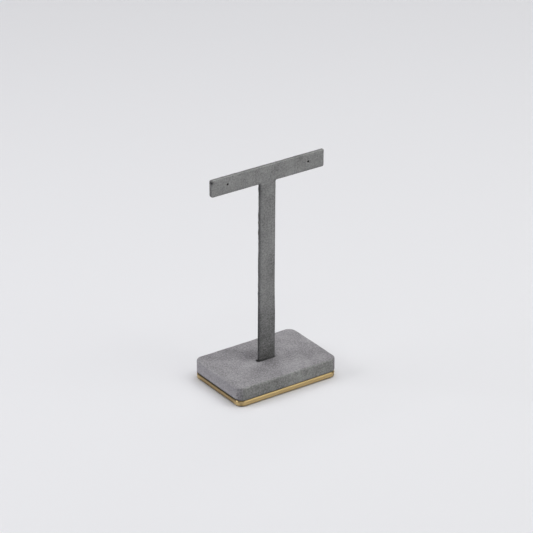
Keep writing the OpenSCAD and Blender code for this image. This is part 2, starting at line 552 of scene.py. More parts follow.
@dataclass(frozen=True)
class ZincPlate(Finish):
    """Zinc-plated screws: pale, slightly blue, with small clouds in the plating."""

    dark: str = "#9fa3aa"
    light: str = "#c9ccd1"
    cloud_mm: float = 0.8
    # Roughness where the plating is bright, and where it is clouded
    roughness: tuple[float, float] = (0.22, 0.42)

    def surface(self, tree: bpy.types.NodeTree) -> bpy.types.Node:
        """Builds the plating.

        Args:
            tree: Tree that the shader goes into.

        Returns:
            The shader.
        """
        cloud = self.grain(tree, self.cloud_mm, 3.0)
        bright, clouded = self.roughness
        rough = add(tree, "ShaderNodeMapRange", {0: cloud, 3: bright, 4: clouded}).outputs[0]
        plating = {0: cloud, 6: linear(self.dark), 7: linear(self.light)}
        colour = add(tree, "ShaderNodeMix", plating, data_type="RGBA").outputs[2]
        return add(
            tree,
            "ShaderNodeBsdfPrincipled",
            {"Base Color": colour, "Metallic": 1.0, "Roughness": rough},
        )


@dataclass(frozen=True)
class Fibreboard(Finish):
    """Medium-density fibreboard, sawn and sanded: brown with pale and dark wood fibres."""

    dark: str = "#83664a"
    light: str = "#b89872"
    fibre_mm: tuple[float, float, float] = (0.9, 0.35, 0.2)
    relief_mm: float = 0.06

    def surface(self, tree: bpy.types.NodeTree) -> bpy.types.Node:
        """Builds the board.

        Args:
            tree: Tree that the shader goes into.

        Returns:
            The shader.
        """
        fibre = self.grain(tree, self.fibre_mm, 3.0)
        cloud = self.grain(tree, 5.0, 2.0)
        share = self.blend(tree, [(fibre, 1.2), (cloud, 0.4)])
        wood = {0: share, 6: linear(self.dark), 7: linear(self.light)}
        relief = {"Height": fibre, "Strength": 0.35, "Distance": self.relief_mm * MM}
        bump = add(tree, "ShaderNodeBump", relief).outputs[0]
        return add(
            tree,
            "ShaderNodeBsdfPrincipled",
            {
                "Base Color": add(tree, "ShaderNodeMix", wood, data_type="RGBA").outputs[2],
                "Roughness": 0.85,
                "Specular IOR Level": 0.3,
                "Normal": bump,
            },
        )


@dataclass(frozen=True)
class PressedFelt(Finish):
    """Needle-punched felt: near-black fibres in a dense mat, with paler ones on top."""

    dark: str = "#17171a"
    light: str = "#3a3a3e"
    # Width and length of a fibre as it shows, and its thickness down into the mat
    strand_mm: tuple[float, float, float] = (0.25, 0.9, 0.5)
    relief_mm: float = 0.2

    def surface(self, tree: bpy.types.NodeTree) -> bpy.types.Node:
        """Builds the felt.

        Args:
            tree: Tree that the shader goes into.

        Returns:
            The shader.
        """
        width, length, thickness = self.strand_mm
        strand = self.grain(tree, (width, length, thickness), 3.0)
        cross = self.grain(tree, (length, width, thickness), 3.0)
        cloud = self.grain(tree, 4.0, 2.0)
        share = self.blend(tree, [(strand, 0.7), (cross, 0.7), (cloud, 0.4)])
        mat = {0: share, 6: linear(self.dark), 7: linear(self.light)}
        height = self.blend(tree, [(strand, 0.5), (cross, 0.5)])
        relief = {"Height": height, "Strength": 0.7, "Distance": self.relief_mm * MM}
        bump = add(tree, "ShaderNodeBump", relief).outputs[0]
        return add(
            tree,
            "ShaderNodeBsdfPrincipled",
            {
                "Base Color": add(tree, "ShaderNodeMix", mat, data_type="RGBA").outputs[2],
                "Roughness": 0.95,
                "Specular IOR Level": 0.2,
                "Sheen Weight": 0.3,
                "Sheen Roughness": 0.5,
                "Normal": bump,
            },
        )


@dataclass(frozen=True)
class PaperSweep(Finish):
    """Matt studio paper, which gives a plain pale ground and fades into the pale wall far out."""

    colour: str
    # Distances in metres between which the paper gives way to the wall
    fade: tuple[float, float] = (0.6, 1.5)

    def surface(self, tree: bpy.types.NodeTree) -> bpy.types.Node:
        """Builds the paper.

        Args:
            tree: Tree that the shader goes into.

        Returns:
            The shader.
        """
        paper = add(
            tree,
            "ShaderNodeBsdfPrincipled",
            {"Base Color": linear(self.colour), "Roughness": 0.9, "Specular IOR Level": 0.1},
        )
        place = add(tree, "ShaderNodeTexCoord").outputs["Object"]
        out = add(tree, "ShaderNodeVectorMath", {0: place}, operation="LENGTH").outputs["Value"]
        span = {0: out, 1: self.fade[0], 2: self.fade[1]}
        gone = add(tree, "ShaderNodeMapRange", span, interpolation_type="SMOOTHSTEP").outputs[0]
        clear = add(tree, "ShaderNodeBsdfTransparent")
        return add(tree, "ShaderNodeMixShader", {0: gone, 1: paper.outputs[0], 2: clear.outputs[0]})


PAD_SUEDE = MicrofibreSuede(
    "microfibre_suede_pad",
    dark="#5f5d60",
    light="#b6b4b8",
    # Painted shade in the slot and in the seam under the pad
    edge="#2b2a2c",
    tips="#dad0e0",
    # Painted sheen: the front side loses the violet cast that the top shows at a glancing angle
    painted_sheen_loss="#fbfff6",
)
# On the T the edge colour is glue on the turned sides, and painted shade in creases, pin holes and the
# slot
UPRIGHT_SUEDE = MicrofibreSuede(
    "microfibre_suede_upright", dark="#656565", light="#bababa", edge="#3b3b3d"
)
# The third colour is painted dark reflection and shade
BRASS = SatinBrass("satin_brass", dark="#b69c6e", light="#dcc390", painted_dark_tone="#4a3427")
STEEL = RolledSteel("rolled_steel")
ZINC = ZincPlate("zinc_plate")
BOARD = Fibreboard("fibreboard")
FELT = PressedFelt("pressed_felt")
PAPER = PaperSweep("paper_sweep", colour="#ebebef")


# Sub-assemblies


class Face(Enum):
    """Which side of the T a cover lies on, as the sign of Y."""

    FRONT = -1
    BACK = 1


@dataclass
class PadOutline:
    """The rounded outline of the pad and the slot in it, with as many points on each."""

    half_l: float
    half_w: float
    corner_r: float
    stem_half_w: float
    slot_r: float
    # How far the slot reaches past the stem at each end; the stem leans to the right one
    left_gap: float = 0.68
    right_gap: float = 0.12
    slot_corner_r: float = 0.4
    # Share of its width that the slot loses towards its left end, where the suede draws together
    slot_taper: float = 0.7
    # Steps on half an end, round a corner and on half a side
    steps: tuple[int, int, int] = (26, 14, 44)

    def edge(self, inset: float) -> np.ndarray:
        """Ring round the pad.

        Args:
            inset: Distance in from the pad's widest outline.

        Returns:
            The ring's points.
        """
        least_r = 0.3
        r = max(self.corner_r - inset, least_r)
        return rounded(self.half_l - inset, self.half_w - inset, r, self.steps)

    def past_corner(self, x: float, y: float) -> np.ndarray:
        """How far a place lies along and across past the middle of the nearest corner's round."""
        return np.array([abs(x) - self.half_l + self.corner_r, abs(y) - self.half_w + self.corner_r])

    def outward(self, x: float, y: float) -> tuple[np.ndarray, float]:
        """Which way the nearest side faces, and how far in from it a place lies.

        Args:
            x: Place along the pad.
            y: Place across the pad.

        Returns:
            A unit direction in three dimensions, and the distance.
        """
        past = self.past_corner(x, y)
        way = np.maximum(past, 0.0) if past.max() > 0 else np.eye(2)[past.argmax()]
        reach = np.linalg.norm(way) if past.max() > 0 else past.max()
        way = way / np.linalg.norm(way) * (math.copysign(1, x), math.copysign(1, y))
        return np.array([*way, 0.0]), self.corner_r - reach

    def slot(self, outset: float) -> np.ndarray:
        """Ring round the slot.

        Args:
            outset: Distance out from the slot's wall.

        Returns:
            The ring's points.
        """
        l, w = self.stem_half_w + self.right_gap + outset, self.slot_r + outset
        x, y = rounded(l, w, self.slot_corner_r + outset, self.steps).T
        x = x - np.clip(-x / self.stem_half_w, 0, 1) * (self.left_gap - self.right_gap)
        past = np.clip((-x - self.stem_half_w) / (self.left_gap + outset), 0, 1)
        return np.column_stack([x, y * (1 - past * self.slot_taper * self.slot_r / w)])


@dataclass(frozen=True)
class ToneMark:
    """A soft mark that shifts the tone of the pad's top, at a place in millimetres."""

    x: float
    y: float
    reach: float
    # Share of the way to the suede's light tone, or to its dark one where it is below nought
    tone: float

    def at(self, place: Vector) -> float:
        """How far the mark shifts the tone at a place."""
        return self.tone * bell(math.hypot(place.x - self.x, place.y - self.y), self.reach)


@dataclass
class SuedePad:
    """The suede cover of the pad: top, soft edges, sides, hem and the lip in the slot."""

    corner_r: float = 5.2
    top_r: float = 1.2
    roll_r: float = 0.8
    skin_t: float = 0.6
    hem_w: float = 8.0
    slot_half_l: float = 5.8
    slot_r: float = 1.4
    lip_r: float = 0.6
    lip_depth: float = 2.5
    # How far the pull of the lip draws the top down beside the slot, and how far out it reaches
    dip_depth: float = 0.28
    dip_reach: float = 2.4
    # How uneven the suede lies, and the width of its broad and of its small swells
    unevenness: float = 0.12
    swell_l: tuple[float, float] = (14.0, 5.0)
    # How far the upper edge waves where the suede is pulled over the block, how long its waves
    # are, how far in from top and side their middle lies, and how far they reach from there
    wave: float = 0.105
    wave_l: float = 5.0
    wave_in: float = 0.4
    wave_reach: float = 1.5
    # Folds that fan out from the slot's left end: height, how many, where they start and reach
    pucker_h: float = 0.09
    pucker_folds: int = 4
    pucker_turn: float = 0.8
    pucker_reach: float = 2.5
    # How far the suede draws in at the corners
    corner_tuck: float = 0.12
    # Soft marks on the top: the dark ones round the slot are painted shadow of the T, the one at the
    # slot's right end is painted shade in its dip, and the rest make patches darker or paler
    marks: tuple[ToneMark, ...] = (
        ToneMark(-6.0, 12.0, 8.0, -0.18),
        ToneMark(-13.0, 18.0, 6.0, -0.04),
        ToneMark(-2.0, -9.0, 6.0, -0.09),
        ToneMark(-16.0, -17.0, 7.0, -0.15),
        ToneMark(-15.0, 0.0, 8.0, 0.12),
        ToneMark(12.0, -17.0, 9.0, 0.12),
        ToneMark(28.0, 17.0, 6.0, 0.10),
        ToneMark(30.0, -3.0, 6.0, 0.07),
        ToneMark(12.0, -8.0, 5.0, 0.10),
        ToneMark(24.0, -9.0, 5.0, -0.08),
        ToneMark(30.0, -18.0, 6.0, 0.08),
        ToneMark(-30.0, -17.0, 6.0, 0.14),
        ToneMark(-34.0, -8.0, 6.0, 0.08),
        ToneMark(17.0, 8.0, 5.0, 0.13),
        ToneMark(8.0, -22.0, 5.0, 0.09),
        ToneMark(8.6, 1.2, 1.8, -0.25),
    )
    # How far in from the outline the painted light and sheen of the sides begin, and where they are
    # full
    side_from: tuple[float, float] = (1.4, 0.1)
    # Painted light: the left side is lightened, most of all low down, and the front side a little
    left_painted_light: float = 0.24
    low_painted_light: float = 0.16
    low_h: float = 1.3
    low_reach: float = 1.5
    front_painted_light: float = 0.02
    # The painted shade of the seam under the pad, in front and at the left end: height, blur and
    # strength
    front_seam: tuple[float, float, float] = (0.9, 0.6, 0.75)
    left_seam: tuple[float, float, float] = (1.15, 0.45, 1.0)
    left_from: tuple[float, float] = (2.0, 0.5)
    # Shade in the slot: how far it reaches out, and its strength at the middle and the left end
    slot_reach: float = 0.4
    slot_shade: float = 0.55
    slot_shade_left: float = 1.0

    def __post_init__(self) -> None:
        """Takes the size and place from the CAD node."""
        low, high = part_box("base_cover")
        self.foot, self.top = low.z / MM, high.z / MM
        self.outline = PadOutline(
            high.x / MM, high.y / MM, self.corner_r, self.slot_half_l, self.slot_r
        )

    def outside(self) -> list[np.ndarray]:
        """Rings of the side that shows, from the foot of the lip to the hem's inner edge.

        Returns:
            The rings in order.
        """
        o, top, foot = self.outline, self.top, self.foot
        straight, crowding = 0.4, 1.35
        depths = np.linspace(self.lip_depth, self.lip_r + straight, 3)
        rings = [lift(o.slot(0), top - depth) for depth in depths]
        rings += [lift(o.slot(outset), top - depth) for depth, outset in fillet(self.lip_r, 8)]
        inner, outer = o.slot(self.lip_r), o.edge(self.top_r)
        # The rings lie closer together near the slot, where the suede dips
        shares = np.linspace(0, 1, 46)[1:] ** crowding
        rings += [lift(inner + (outer - inner) * share, top) for share in shares]
        rings += [lift(o.edge(inset), top - depth) for inset, depth in fillet(self.top_r, 9)[1:]]
        rings += [lift(o.edge(0), z) for z in np.linspace(top - self.top_r, foot + self.roll_r, 11)[1:]]
        rings += [lift(o.edge(inset), foot + height) for height, inset in fillet(self.roll_r, 7)[1:]]
        rings += [lift(o.edge(inset), foot) for inset in np.linspace(self.roll_r, self.hem_w, 8)[1:]]
        return rings

    def inside(self) -> list[np.ndarray]:
        """Rings of the glued side, from the hem's inner edge back to the lip.

        Returns:
            The rings in order.
        """
        o, skin = self.outline, self.skin_t
        foot, top = self.foot + skin, self.top - skin
        roll, edge = self.roll_r - skin, self.top_r - skin
        rings = [lift(o.edge(inset), foot) for inset in np.linspace(self.hem_w, skin + roll, 6)]
        rings += [lift(o.edge(skin), z) for z in np.linspace(foot + roll, top - edge, 5)]
        rings += [lift(o.edge(skin + inset), top - depth) for depth, inset in fillet(edge, 4)[1:]]
        outer, inner = o.edge(skin + edge), o.slot(skin)
        rings += [lift(outer + (inner - outer) * t, top) for t in np.linspace(0, 1, 10)[1:]]
        rings.append(lift(o.slot(skin), self.top - self.lip_depth))
        return rings

    def settle(self, point: np.ndarray) -> np.ndarray:
        """Moves one point of the outside as the pulled and glued suede lies.

        Args:
            point: Place on the ideal surface.

        Returns:
            The place on the real one.
        """
        x, y, z = point
        o = self.outline
        height = (z - self.foot) / (self.top - self.foot)
        broad, small = (ripple(point, size, seed) for size, seed in zip(self.swell_l, (1.3, 7.7)))
        sway = self.unevenness * ramp(height, 0.0, 0.5) * (broad + 0.5 * small)
        away = np.array([x / o.half_l, y / o.half_w, 0.0]) * (1 - height)
        along, across = np.maximum(o.past_corner(x, y), 0.0)
        tuck = self.corner_tuck * along * across / (o.corner_r**2 / 2)
        inward = np.array([-math.copysign(tuck, x), -math.copysign(tuck, y), 0.0])
        rise = self.pucker(x, y) - self.dip_depth * bell(self.from_slot(x, y), self.dip_reach)
        way, inset = o.outward(x, y)
        near = bell(math.hypot(inset - self.wave_in, z - self.top + self.wave_in), self.wave_reach)
        wave = self.wave * near * ripple(point, self.wave_l, seed=2.6) * (way + (0, 0, 1))
        return point + sway * (away + (0, 0, height)) + inward + wave + np.array([0, 0, rise * height])

    def from_slot(self, x: float, y: float) -> float:
        """Distance of a place from the slot's wall."""
        return math.hypot(max(abs(x) - self.slot_half_l, 0.0), y) - self.slot_r

    def pucker(self, x: float, y: float) -> float:
        """Height of the small folds that fan out from the slot's left end.

        Args:
            x: Place along the pad.
            y: Place across the pad.

        Returns:
            The height, below nought in a furrow.
        """
        past = x + self.slot_half_l
        fan = math.cos(self.pucker_folds * math.atan2(y, -past) + self.pucker_turn)
        left = 1 / (1 + math.exp(past))
        out = (math.hypot(past, y) / self.pucker_reach) ** 2
        return self.pucker_h * fan * left * out * math.exp(1 - out)

    def build(self) -> bpy.types.Object:
        """Makes the cover, puts it in its node's place and dresses it.

        Returns:
            The piece.
        """
        outside = [np.apply_along_axis(self.settle, 1, ring) for ring in self.outside()]
        points, faces = loft(outside + self.inside(), Ends.JOINED)
        piece = piece_from("pad_suede_cover", points, faces)
        wear(piece, "edge", self.edge_shade)
        wear(piece, "nap", self.tone_with_painted_light)
        # Painted sheen taken off the front side
        wear(piece, "painted_sheen_loss", self.on_front)
        piece.data.materials.append(PAD_SUEDE.material())
        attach(piece, BODY)
        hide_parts("base_cover")
        return piece

    def on_front(self, place: Vector) -> float:
        """How far a place lies on the front side, from 0 on the top to 1."""
        start, full = (self.outline.half_w - inset for inset in self.side_from)
        return ramp(-place.y, start, full)

    def tone_with_painted_light(self, place: Vector) -> float:
        """How the tone shifts over the pad: by the marks, and by painted light down the left side and
        on the front.

        Args:
            place: Place in millimetres.

        Returns:
            The shift, below nought where it is darker.
        """
        start, full = (self.outline.half_l - inset for inset in self.side_from)
        low = bell(place.z - self.foot - self.low_h, self.low_reach)
        marked = sum(mark.at(place) for mark in self.marks) + self.front_painted_light * self.on_front(place)
        return marked + ramp(-place.x, start, full) * (self.left_painted_light + self.low_painted_light * low)

    def edge_shade(self, place: Vector) -> float:
        """How far shade is painted on the suede in the slot and at the roll under the pad.

        Args:
            place: Place in millimetres.

        Returns:
            0 for none, up to 1.
        """
        in_slot = bell(max(self.from_slot(place.x, place.y), 0.0), self.slot_reach)
        leftward = ramp(-place.x, 0.0, self.slot_half_l)
        in_slot *= self.slot_shade + (self.slot_shade_left - self.slot_shade) * leftward
        at_left = ramp(-place.x, *(self.outline.half_l - inset for inset in self.left_from))
        height, blur, strength = (
            front + (left - front) * at_left for front, left in zip(self.front_seam, self.left_seam)
        )
        return min(1.0, in_slot + strength * ramp(place.z - self.foot, height, height - blur))


@dataclass
class TOutline:
    """The outline of the T, taken in by an inset, with the same points for each inset."""

    half_l: float
    top: float
    foot: float
    bar_h: float = 11.5
    stem_half_w: float = 5.8
    corner_r: float = 1.2
    # The top corner at the right has stayed squarer than the others
    right_top_r: float = 0.25
    elbow_r: float = 0.9
    step: float = 0.9
    # The suede lies looser on the stem's right side near the pad: how far, and from which heights
    loose: float = 0.5
    loose_from: tuple[float, float] = (68.0, 40.0)
    tucked_in: tuple[float, float] = (12.6, 13.8)

    @property
    def bar_foot(self) -> float:
        """Height of the bar's lower edge."""
        return self.top - self.bar_h

    def spread(self, z: float) -> float:
        """How far the suede stands off at the right of the stem at a height."""
        return self.loose * ease(ramp(z, *self.loose_from)) * ramp(z, *self.tucked_in)

    def path(self, inset: float) -> np.ndarray:
        """Open path from the foot of the stem's left edge, over the bar, to the right edge's foot.

        Args:
            inset: Distance in from the T's outline.

        Returns:
            Points as X and Z.
        """
        left = self.half_path(inset, self.corner_r)
        right = self.half_path(inset, self.right_top_r)[::-1] * (-1, 1)
        on_stem = right[:, 1] < self.bar_foot - self.elbow_r
        right[on_stem, 0] += [self.spread(z) for z in right[on_stem, 1]]
        return join(left, right)

    def half_path(self, inset: float, top_r: float) -> np.ndarray:
        """The left half of the path, up to the middle of the bar's top.

        Args:
            inset: Distance in from the T's outline.
            top_r: Radius of the half's upper corner.

        Returns:
            Points as X and Z.
        """
        a, b = self.stem_half_w - inset, self.half_l - inset
        low, high = self.bar_foot + inset, self.top - inset
        least_r = 0.1
        r, t = max(self.corner_r - inset, least_r), max(top_r - inset, least_r)
        e = self.elbow_r + inset
        stem = round((low - e - self.foot) / self.step)
        arm = round((self.half_l - self.stem_half_w) / self.step)
        end = round(self.bar_h / self.step)
        return join(
            run((-a, self.foot), (-a, low - e), stem),
            arc(-a - e, low - e, e, 0, 90, 6),
            run((-a - e, low), (-b + r, low), arm),
            arc(-b + r, low + r, r, 270, 180, 6),
            run((-b, low + r), (-b, high - t), end),
            arc(-b + t, high - t, t, 180, 90, 6),
            run((-b + t, high), (0, high), arm + 6),
        )

    def holds(self, places: np.ndarray, inset: float) -> np.ndarray:
        """Whether points lie within the outline.

        Args:
            places: One row of X and Z for each point.
            inset: Inset of the outline.

        Returns:
            A truth value for each point.
        """
        ring = self.path(inset)
        ax, az = ring.T
        bx, bz = np.roll(ring, -1, axis=0).T
        x, z = places[:, :1], places[:, 1:]
        passes = (az > z) != (bz > z)
        rise = np.where(az == bz, 1.0, bz - az)
        return (passes & (x < ax + (z - az) * (bx - ax) / rise)).sum(axis=1) % 2 == 1


@dataclass
class PinHoles:
    """The pair of holes for the earring posts, with the dimple that each presses in the suede."""

    outline: TOutline
    from_end: float = 12.2
    from_top: float = 5.2
    r: float = 0.6
    steps: int = 20
    dimple: float = 0.12
    dimple_reach: float = 0.4

    def __post_init__(self) -> None:
        """Finds the holes' places in the bar."""
        self.x = self.outline.half_l - self.from_end
        self.z = self.outline.top - self.from_top

    def rings(self, r: float) -> list[np.ndarray]:
        """A ring of X and Z round each hole at radius r."""
        return [arc(side * self.x, self.z, r, 0, 360, self.steps)[:-1] for side in (-1, 1)]

    def distance(self, x: float, z: float) -> float:
        """Distance from the middle of the nearer hole."""
        return math.hypot(abs(x) - self.x, z - self.z)

    def depth(self, x: float, z: float) -> float:
        """Depth of the dimple at a point of the suede's face."""
        return self.dimple * bell(max(self.distance(x, z) - self.r, 0.0), self.dimple_reach)


@dataclass
class TCover:
    """One suede cover of the T. The front one turns over the steel's edges, the back one is flat."""

    face: Face
    outline: TOutline
    holes: PinHoles
    steel_t: float = 1.5
    suede_t: float = 0.5
    turn_r: float = 0.4
    # The back cover lies in from the outline and has a small round along its edge
    back_inset: float = 0.1
    back_r: float = 0.12
    # The raw edge's rounded lip: insets, and how far short of the steel's back face each lies
    raw_lip: tuple[tuple[float, float], ...] = ((0.0, 0.12), (0.06, 0.03), (0.14, 0.0))
    # Spacing of the face's net, and its rings round a pin hole, from the hole's edge
    grid: float = 1.1
    hole_rings: tuple[float, ...] = (0.2, 0.45, 0.8, 1.15)
    net_from_hole: float = 1.4
    # How uneven the face lies, and the width of its swells
    unevenness: float = 0.04
    swell_l: float = 9.0
    # The face lies even this near its rim
    even_rim: float = 0.35
    # How far the raw edge wanders out and in, and the width of its waves: broad and small
    raw_edge: tuple[tuple[float, float], ...] = ((0.09, 3.1), (0.06, 1.1))
    # Where the glued raw edge stands proud on the stem's left side, or lies in: height, size and reach
    knots: tuple[tuple[float, float, float], ...] = (
        (135.0, 0.25, 2.6),
        (115.5, 0.23, 4.0),
        (111.0, 0.2, 0.8),
        (104.0, 0.26, 1.6),
        (92.0, -0.14, 3.0),
        (83.5, 0.1, 4.5),
        (60.5, 0.14, 1.0),
        (32.0, -0.24, 18.0),
    )
    # Painted shade near the pad: darkest from the foot up to a height, and back to the suede's own tone
    # at another; the bar gets painted light
    dark_foot: tuple[float, float] = (36.0, 64.0)
    foot_painted_shade: float = -0.25
    bar_painted_light: float = 0.12
    # The glue darkens the turned sides, and painted shade near the pad darkens them more low down: how
    # far in all, how much less high up, from which height to which, and how unevenly by patch and by
    # fleck
    glue_shade: float = 0.9
    painted_shade_fade: float = 0.12
    painted_shade_fade_z: tuple[float, float] = (50.0, 70.0)
    glue_patch: float = 0.2
    glue_fleck: float = 0.25
    # How far behind the face it begins, and where it is full
    glue_from: tuple[float, float] = (0.15, 0.65)
    # What is left of that on the bar's top and ends, and how far they reach in
    least_glue: float = 0.72
    on_end_from: float = 1.0
    on_top_from: float = 0.6
    # A spot of glue at the bar's upper left corner: how far in and down it lies, and its reach
    glue_spot: tuple[float, float, float] = (0.2, 1.5, 1.2649)
    # Painted shade in the crease of the face along the rim: strength, strength at the bar's ends, and
    # reach. It is lost this far down from the bar's top
    crease: tuple[float, float, float] = (0.36, 0.16, 0.45)
    crease_lost: float = 1.5
    # Shade where the stem goes into the pad: strength, how much more for each millimetre
    # towards the left, and how far up it reaches
    slot_shade: tuple[float, float, float] = (0.55, 0.03, 0.7)

    def __post_init__(self) -> None:
        """Takes the height of the pad's top from its CAD node."""
        self.pad_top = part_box("base_cover")[1].z / MM

    def profile(self) -> list[tuple[float, float]]:
        """Insets and depths of the rings from the edge of the shown face to the glued face.

        Returns:
            Pairs of inset and distance behind the steel's middle, with the shown face first.
        """
        half = self.steel_t / 2
        shown = half + self.suede_t
        if self.face is Face.BACK:
            edge = self.back_inset
            turn = [(edge + inset, shown - depth) for inset, depth in fillet(self.back_r, 3)]
            return [*turn, (edge, half + 0.1), (edge, half)]
        turn = [(inset, depth - shown) for inset, depth in fillet(self.turn_r, 6)]
        begin, *rest = [(inset, half - short) for inset, short in self.raw_lip]
        wall = [(begin[0], y) for y in np.linspace(self.turn_r - shown, begin[1], 5)[1:]]
        glued = [(self.suede_t, y) for y in (half, *np.linspace(half, -half, 4)[1:])]
        return turn + wall + rest + glued

    def sheet(self, inset: float, y: float, shown: bool) -> Shell:
        """Fills the T's outline with a fine net of triangles that leaves the pin holes open.

        Args:
            inset: Inset of the outline.
            y: Depth of the sheet.
            shown: Whether it is a shown face, which has ripples and dimples.

        Returns:
            Points and triangles.
        """
        o, holes = self.outline, self.holes
        loops = [o.path(inset), *holes.rings(holes.r)]
        flat = [tuple(p) for loop in loops for p in loop]
        edges = []
        for loop in loops:
            start, count = len(edges), len(loop)
            edges += [(start + i, start + (i + 1) % count) for i in range(count)]
        columns, rows = np.arange(-o.half_l, o.half_l, self.grid), np.arange(o.foot, o.top, self.grid)
        net = np.array([(x, z) for x in columns for z in rows])
        # The net keeps half a space clear of the rim, and a little more, so that no sliver is made
        net = net[o.holds(net, inset + 0.55 * self.grid)]
        flat += [(x, z) for x, z in net if holes.distance(x, z) > holes.r + self.net_from_hole]
        for out in self.hole_rings:
            flat += [tuple(p) for ring in holes.rings(holes.r + out) for p in ring]
        made, _, faces, *_ = delaunay_2d_cdt([Vector(p) for p in flat], edges, [], 1, 1e-5, True)
        middles = np.array([sum((made[i] for i in tri), Vector((0, 0))) / 3 for tri in faces])
        kept = [
            tuple(tri)
            for tri, middle, inner in zip(faces, middles, o.holds(middles, inset))
            if inner and holes.distance(*middle) > holes.r * 0.98
        ]
        points = np.array([(v.x, y, v.y) for v in made])
        if shown:
            sign = self.face.value
            for p in points:
                if self.distance_to_rim(p[0], p[2]) > self.even_rim + inset:
                    p[1] += sign * self.unevenness * ripple((p[0], 0, p[2]), self.swell_l, seed=3.1)
                p[1] -= sign * holes.depth(p[0], p[2])
        return points, kept

    def distance_to_rim(self, x: float, z: float) -> float:
        """Rough distance from a point of the face to the nearest edge of the T.

        Args:
            x: Place along the bar.
            z: Height.

        Returns:
            The distance, below nought outside the T.
        """
        o = self.outline
        in_bar = min(o.half_l - abs(x), z - o.bar_foot, o.top - z)
        half_w = o.stem_half_w + (o.spread(z) if x > 0 else 0.0)
        in_stem = min(half_w - abs(x), o.top - z)
        return max(in_bar, in_stem)

    def ragged(self, point: np.ndarray) -> np.ndarray:
        """Moves a point of the rim as the trimmed and glued raw edge lies.

        Args:
            point: Place on the ideal rim.

        Returns:
            The place on the real one.
        """
        x, y, z = point
        o = self.outline
        (far, wide), (near, narrow) = self.raw_edge
        out = far * ripple((x, 0, z), wide, seed=5.0) + near * ripple((x, y, z), narrow, seed=9.0)
        if x < 0 and z < o.bar_foot - 1:
            out += sum(size * bell(z - at, reach) for at, size, reach in self.knots)
        # Only the raw edge at the back wanders, and the turned edge in front stays straight
        out *= ramp(y, -self.steel_t / 2, self.steel_t / 2)
        if z < o.bar_foot - o.elbow_r or abs(x) > o.half_l - self.on_end_from:
            return np.array([x + math.copysign(1, x) * out, y, z])
        up = 1 if z > o.top - o.bar_h / 2 else -1
        return np.array([x, y, z + up * out])

    def build(self) -> bpy.types.Object:
        """Makes the cover, puts it in its node's place and dresses it.

        Returns:
            The piece.
        """
        profile = self.profile()
        rims = [stand(self.outline.path(inset), y) for inset, y in profile]
        rims[1:-1] = [np.apply_along_axis(self.ragged, 1, rim) for rim in rims[1:-1]]
        shells = [
            self.sheet(*profile[0], shown=True),
            self.sheet(*profile[-1], shown=False),
            loft(rims, Ends.OPEN),
        ]
        pressed = profile[0][1] - self.face.value * self.holes.dimple
        for ring in self.holes.rings(self.holes.r):
            shells.append(loft([stand(ring, pressed), stand(ring, profile[-1][1])], Ends.OPEN))
        piece = piece_from("upright_suede_" + self.face.name.lower(), *merge(shells))
        wear(piece, "edge", self.edge_shade)
        # Painted shade near the pad and painted light on the bar
        wear(piece, "nap", self.tone_with_painted_light)
        piece.data.materials.append(UPRIGHT_SUEDE.material())
        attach(piece, BODY)
        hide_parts("upright_cover_" + self.face.name.lower())
        return piece

    def declare(self, piece: bpy.types.Object, others: Sequence[bpy.types.Object]) -> None:
        """Does nothing.

        Args:
            piece: The cover; not used.
            others: Pieces that are glued to it; not used.
        """

    def tone_with_painted_light(self, place: Vector) -> float:
        """How the tone shifts: painted shade near the pad, and painted light on the bar.

        Args:
            place: Place in millimetres.

        Returns:
            The shift, below nought where it is darker.
        """
        on_bar = ramp(place.z, self.outline.bar_foot - 1.0, self.outline.bar_foot + 2.0)
        return self.foot_painted_shade * (1 - ease(ramp(place.z, *self.dark_foot))) + self.bar_painted_light * on_bar

    def edge_shade(self, place: Vector) -> float:
        """How far the suede darkens: by glue at the rim, and by painted shade low on the rim, in its
        crease, in the pin holes and where it goes into the pad.

        Args:
            place: Place in millimetres.

        Returns:
            0 for none, up to 1.
        """
        o = self.outline
        shown = self.steel_t / 2 + self.suede_t
        behind = (place.y + shown) if self.face is Face.FRONT else (shown - place.y)
        patch = self.glue_patch * ripple((place.x, 0, place.z), 5.0, seed=4.0)
        fleck = self.glue_fleck * ripple(place, 1.3, seed=8.0)
        # Painted shade near the pad: the rim is less dark high up
        glue = self.glue_shade - self.painted_shade_fade * ramp(place.z, *self.painted_shade_fade_z) + patch + fleck
        on_end = abs(place.x) > o.half_l - self.on_end_from
        if on_end or place.z > o.top - self.on_top_from:
            glue *= self.least_glue
        rim = glue * ramp(behind, *self.glue_from)
        inward, down, reach = self.glue_spot
        spot = bell(math.hypot(place.x + o.half_l - inward, place.z - o.top + down), reach)
        at_side, at_end, reach = self.crease
        from_rim = max(self.distance_to_rim(place.x, place.z), 0.0)
        crease = (at_end if on_end else at_side) * bell(from_rim, reach)
        if place.z > o.top - self.crease_lost:
            crease = 0.0
        # Painted shade in the pin holes
        in_hole = float(self.holes.distance(place.x, place.z) < self.holes.r + 0.05)
        strength, leftward, reach = self.slot_shade
        in_slot = (strength - leftward * place.x) * bell(max(place.z - self.pad_top, 0.0), reach)
        return min(1.0, max(rim, crease, in_hole, spot) + in_slot)


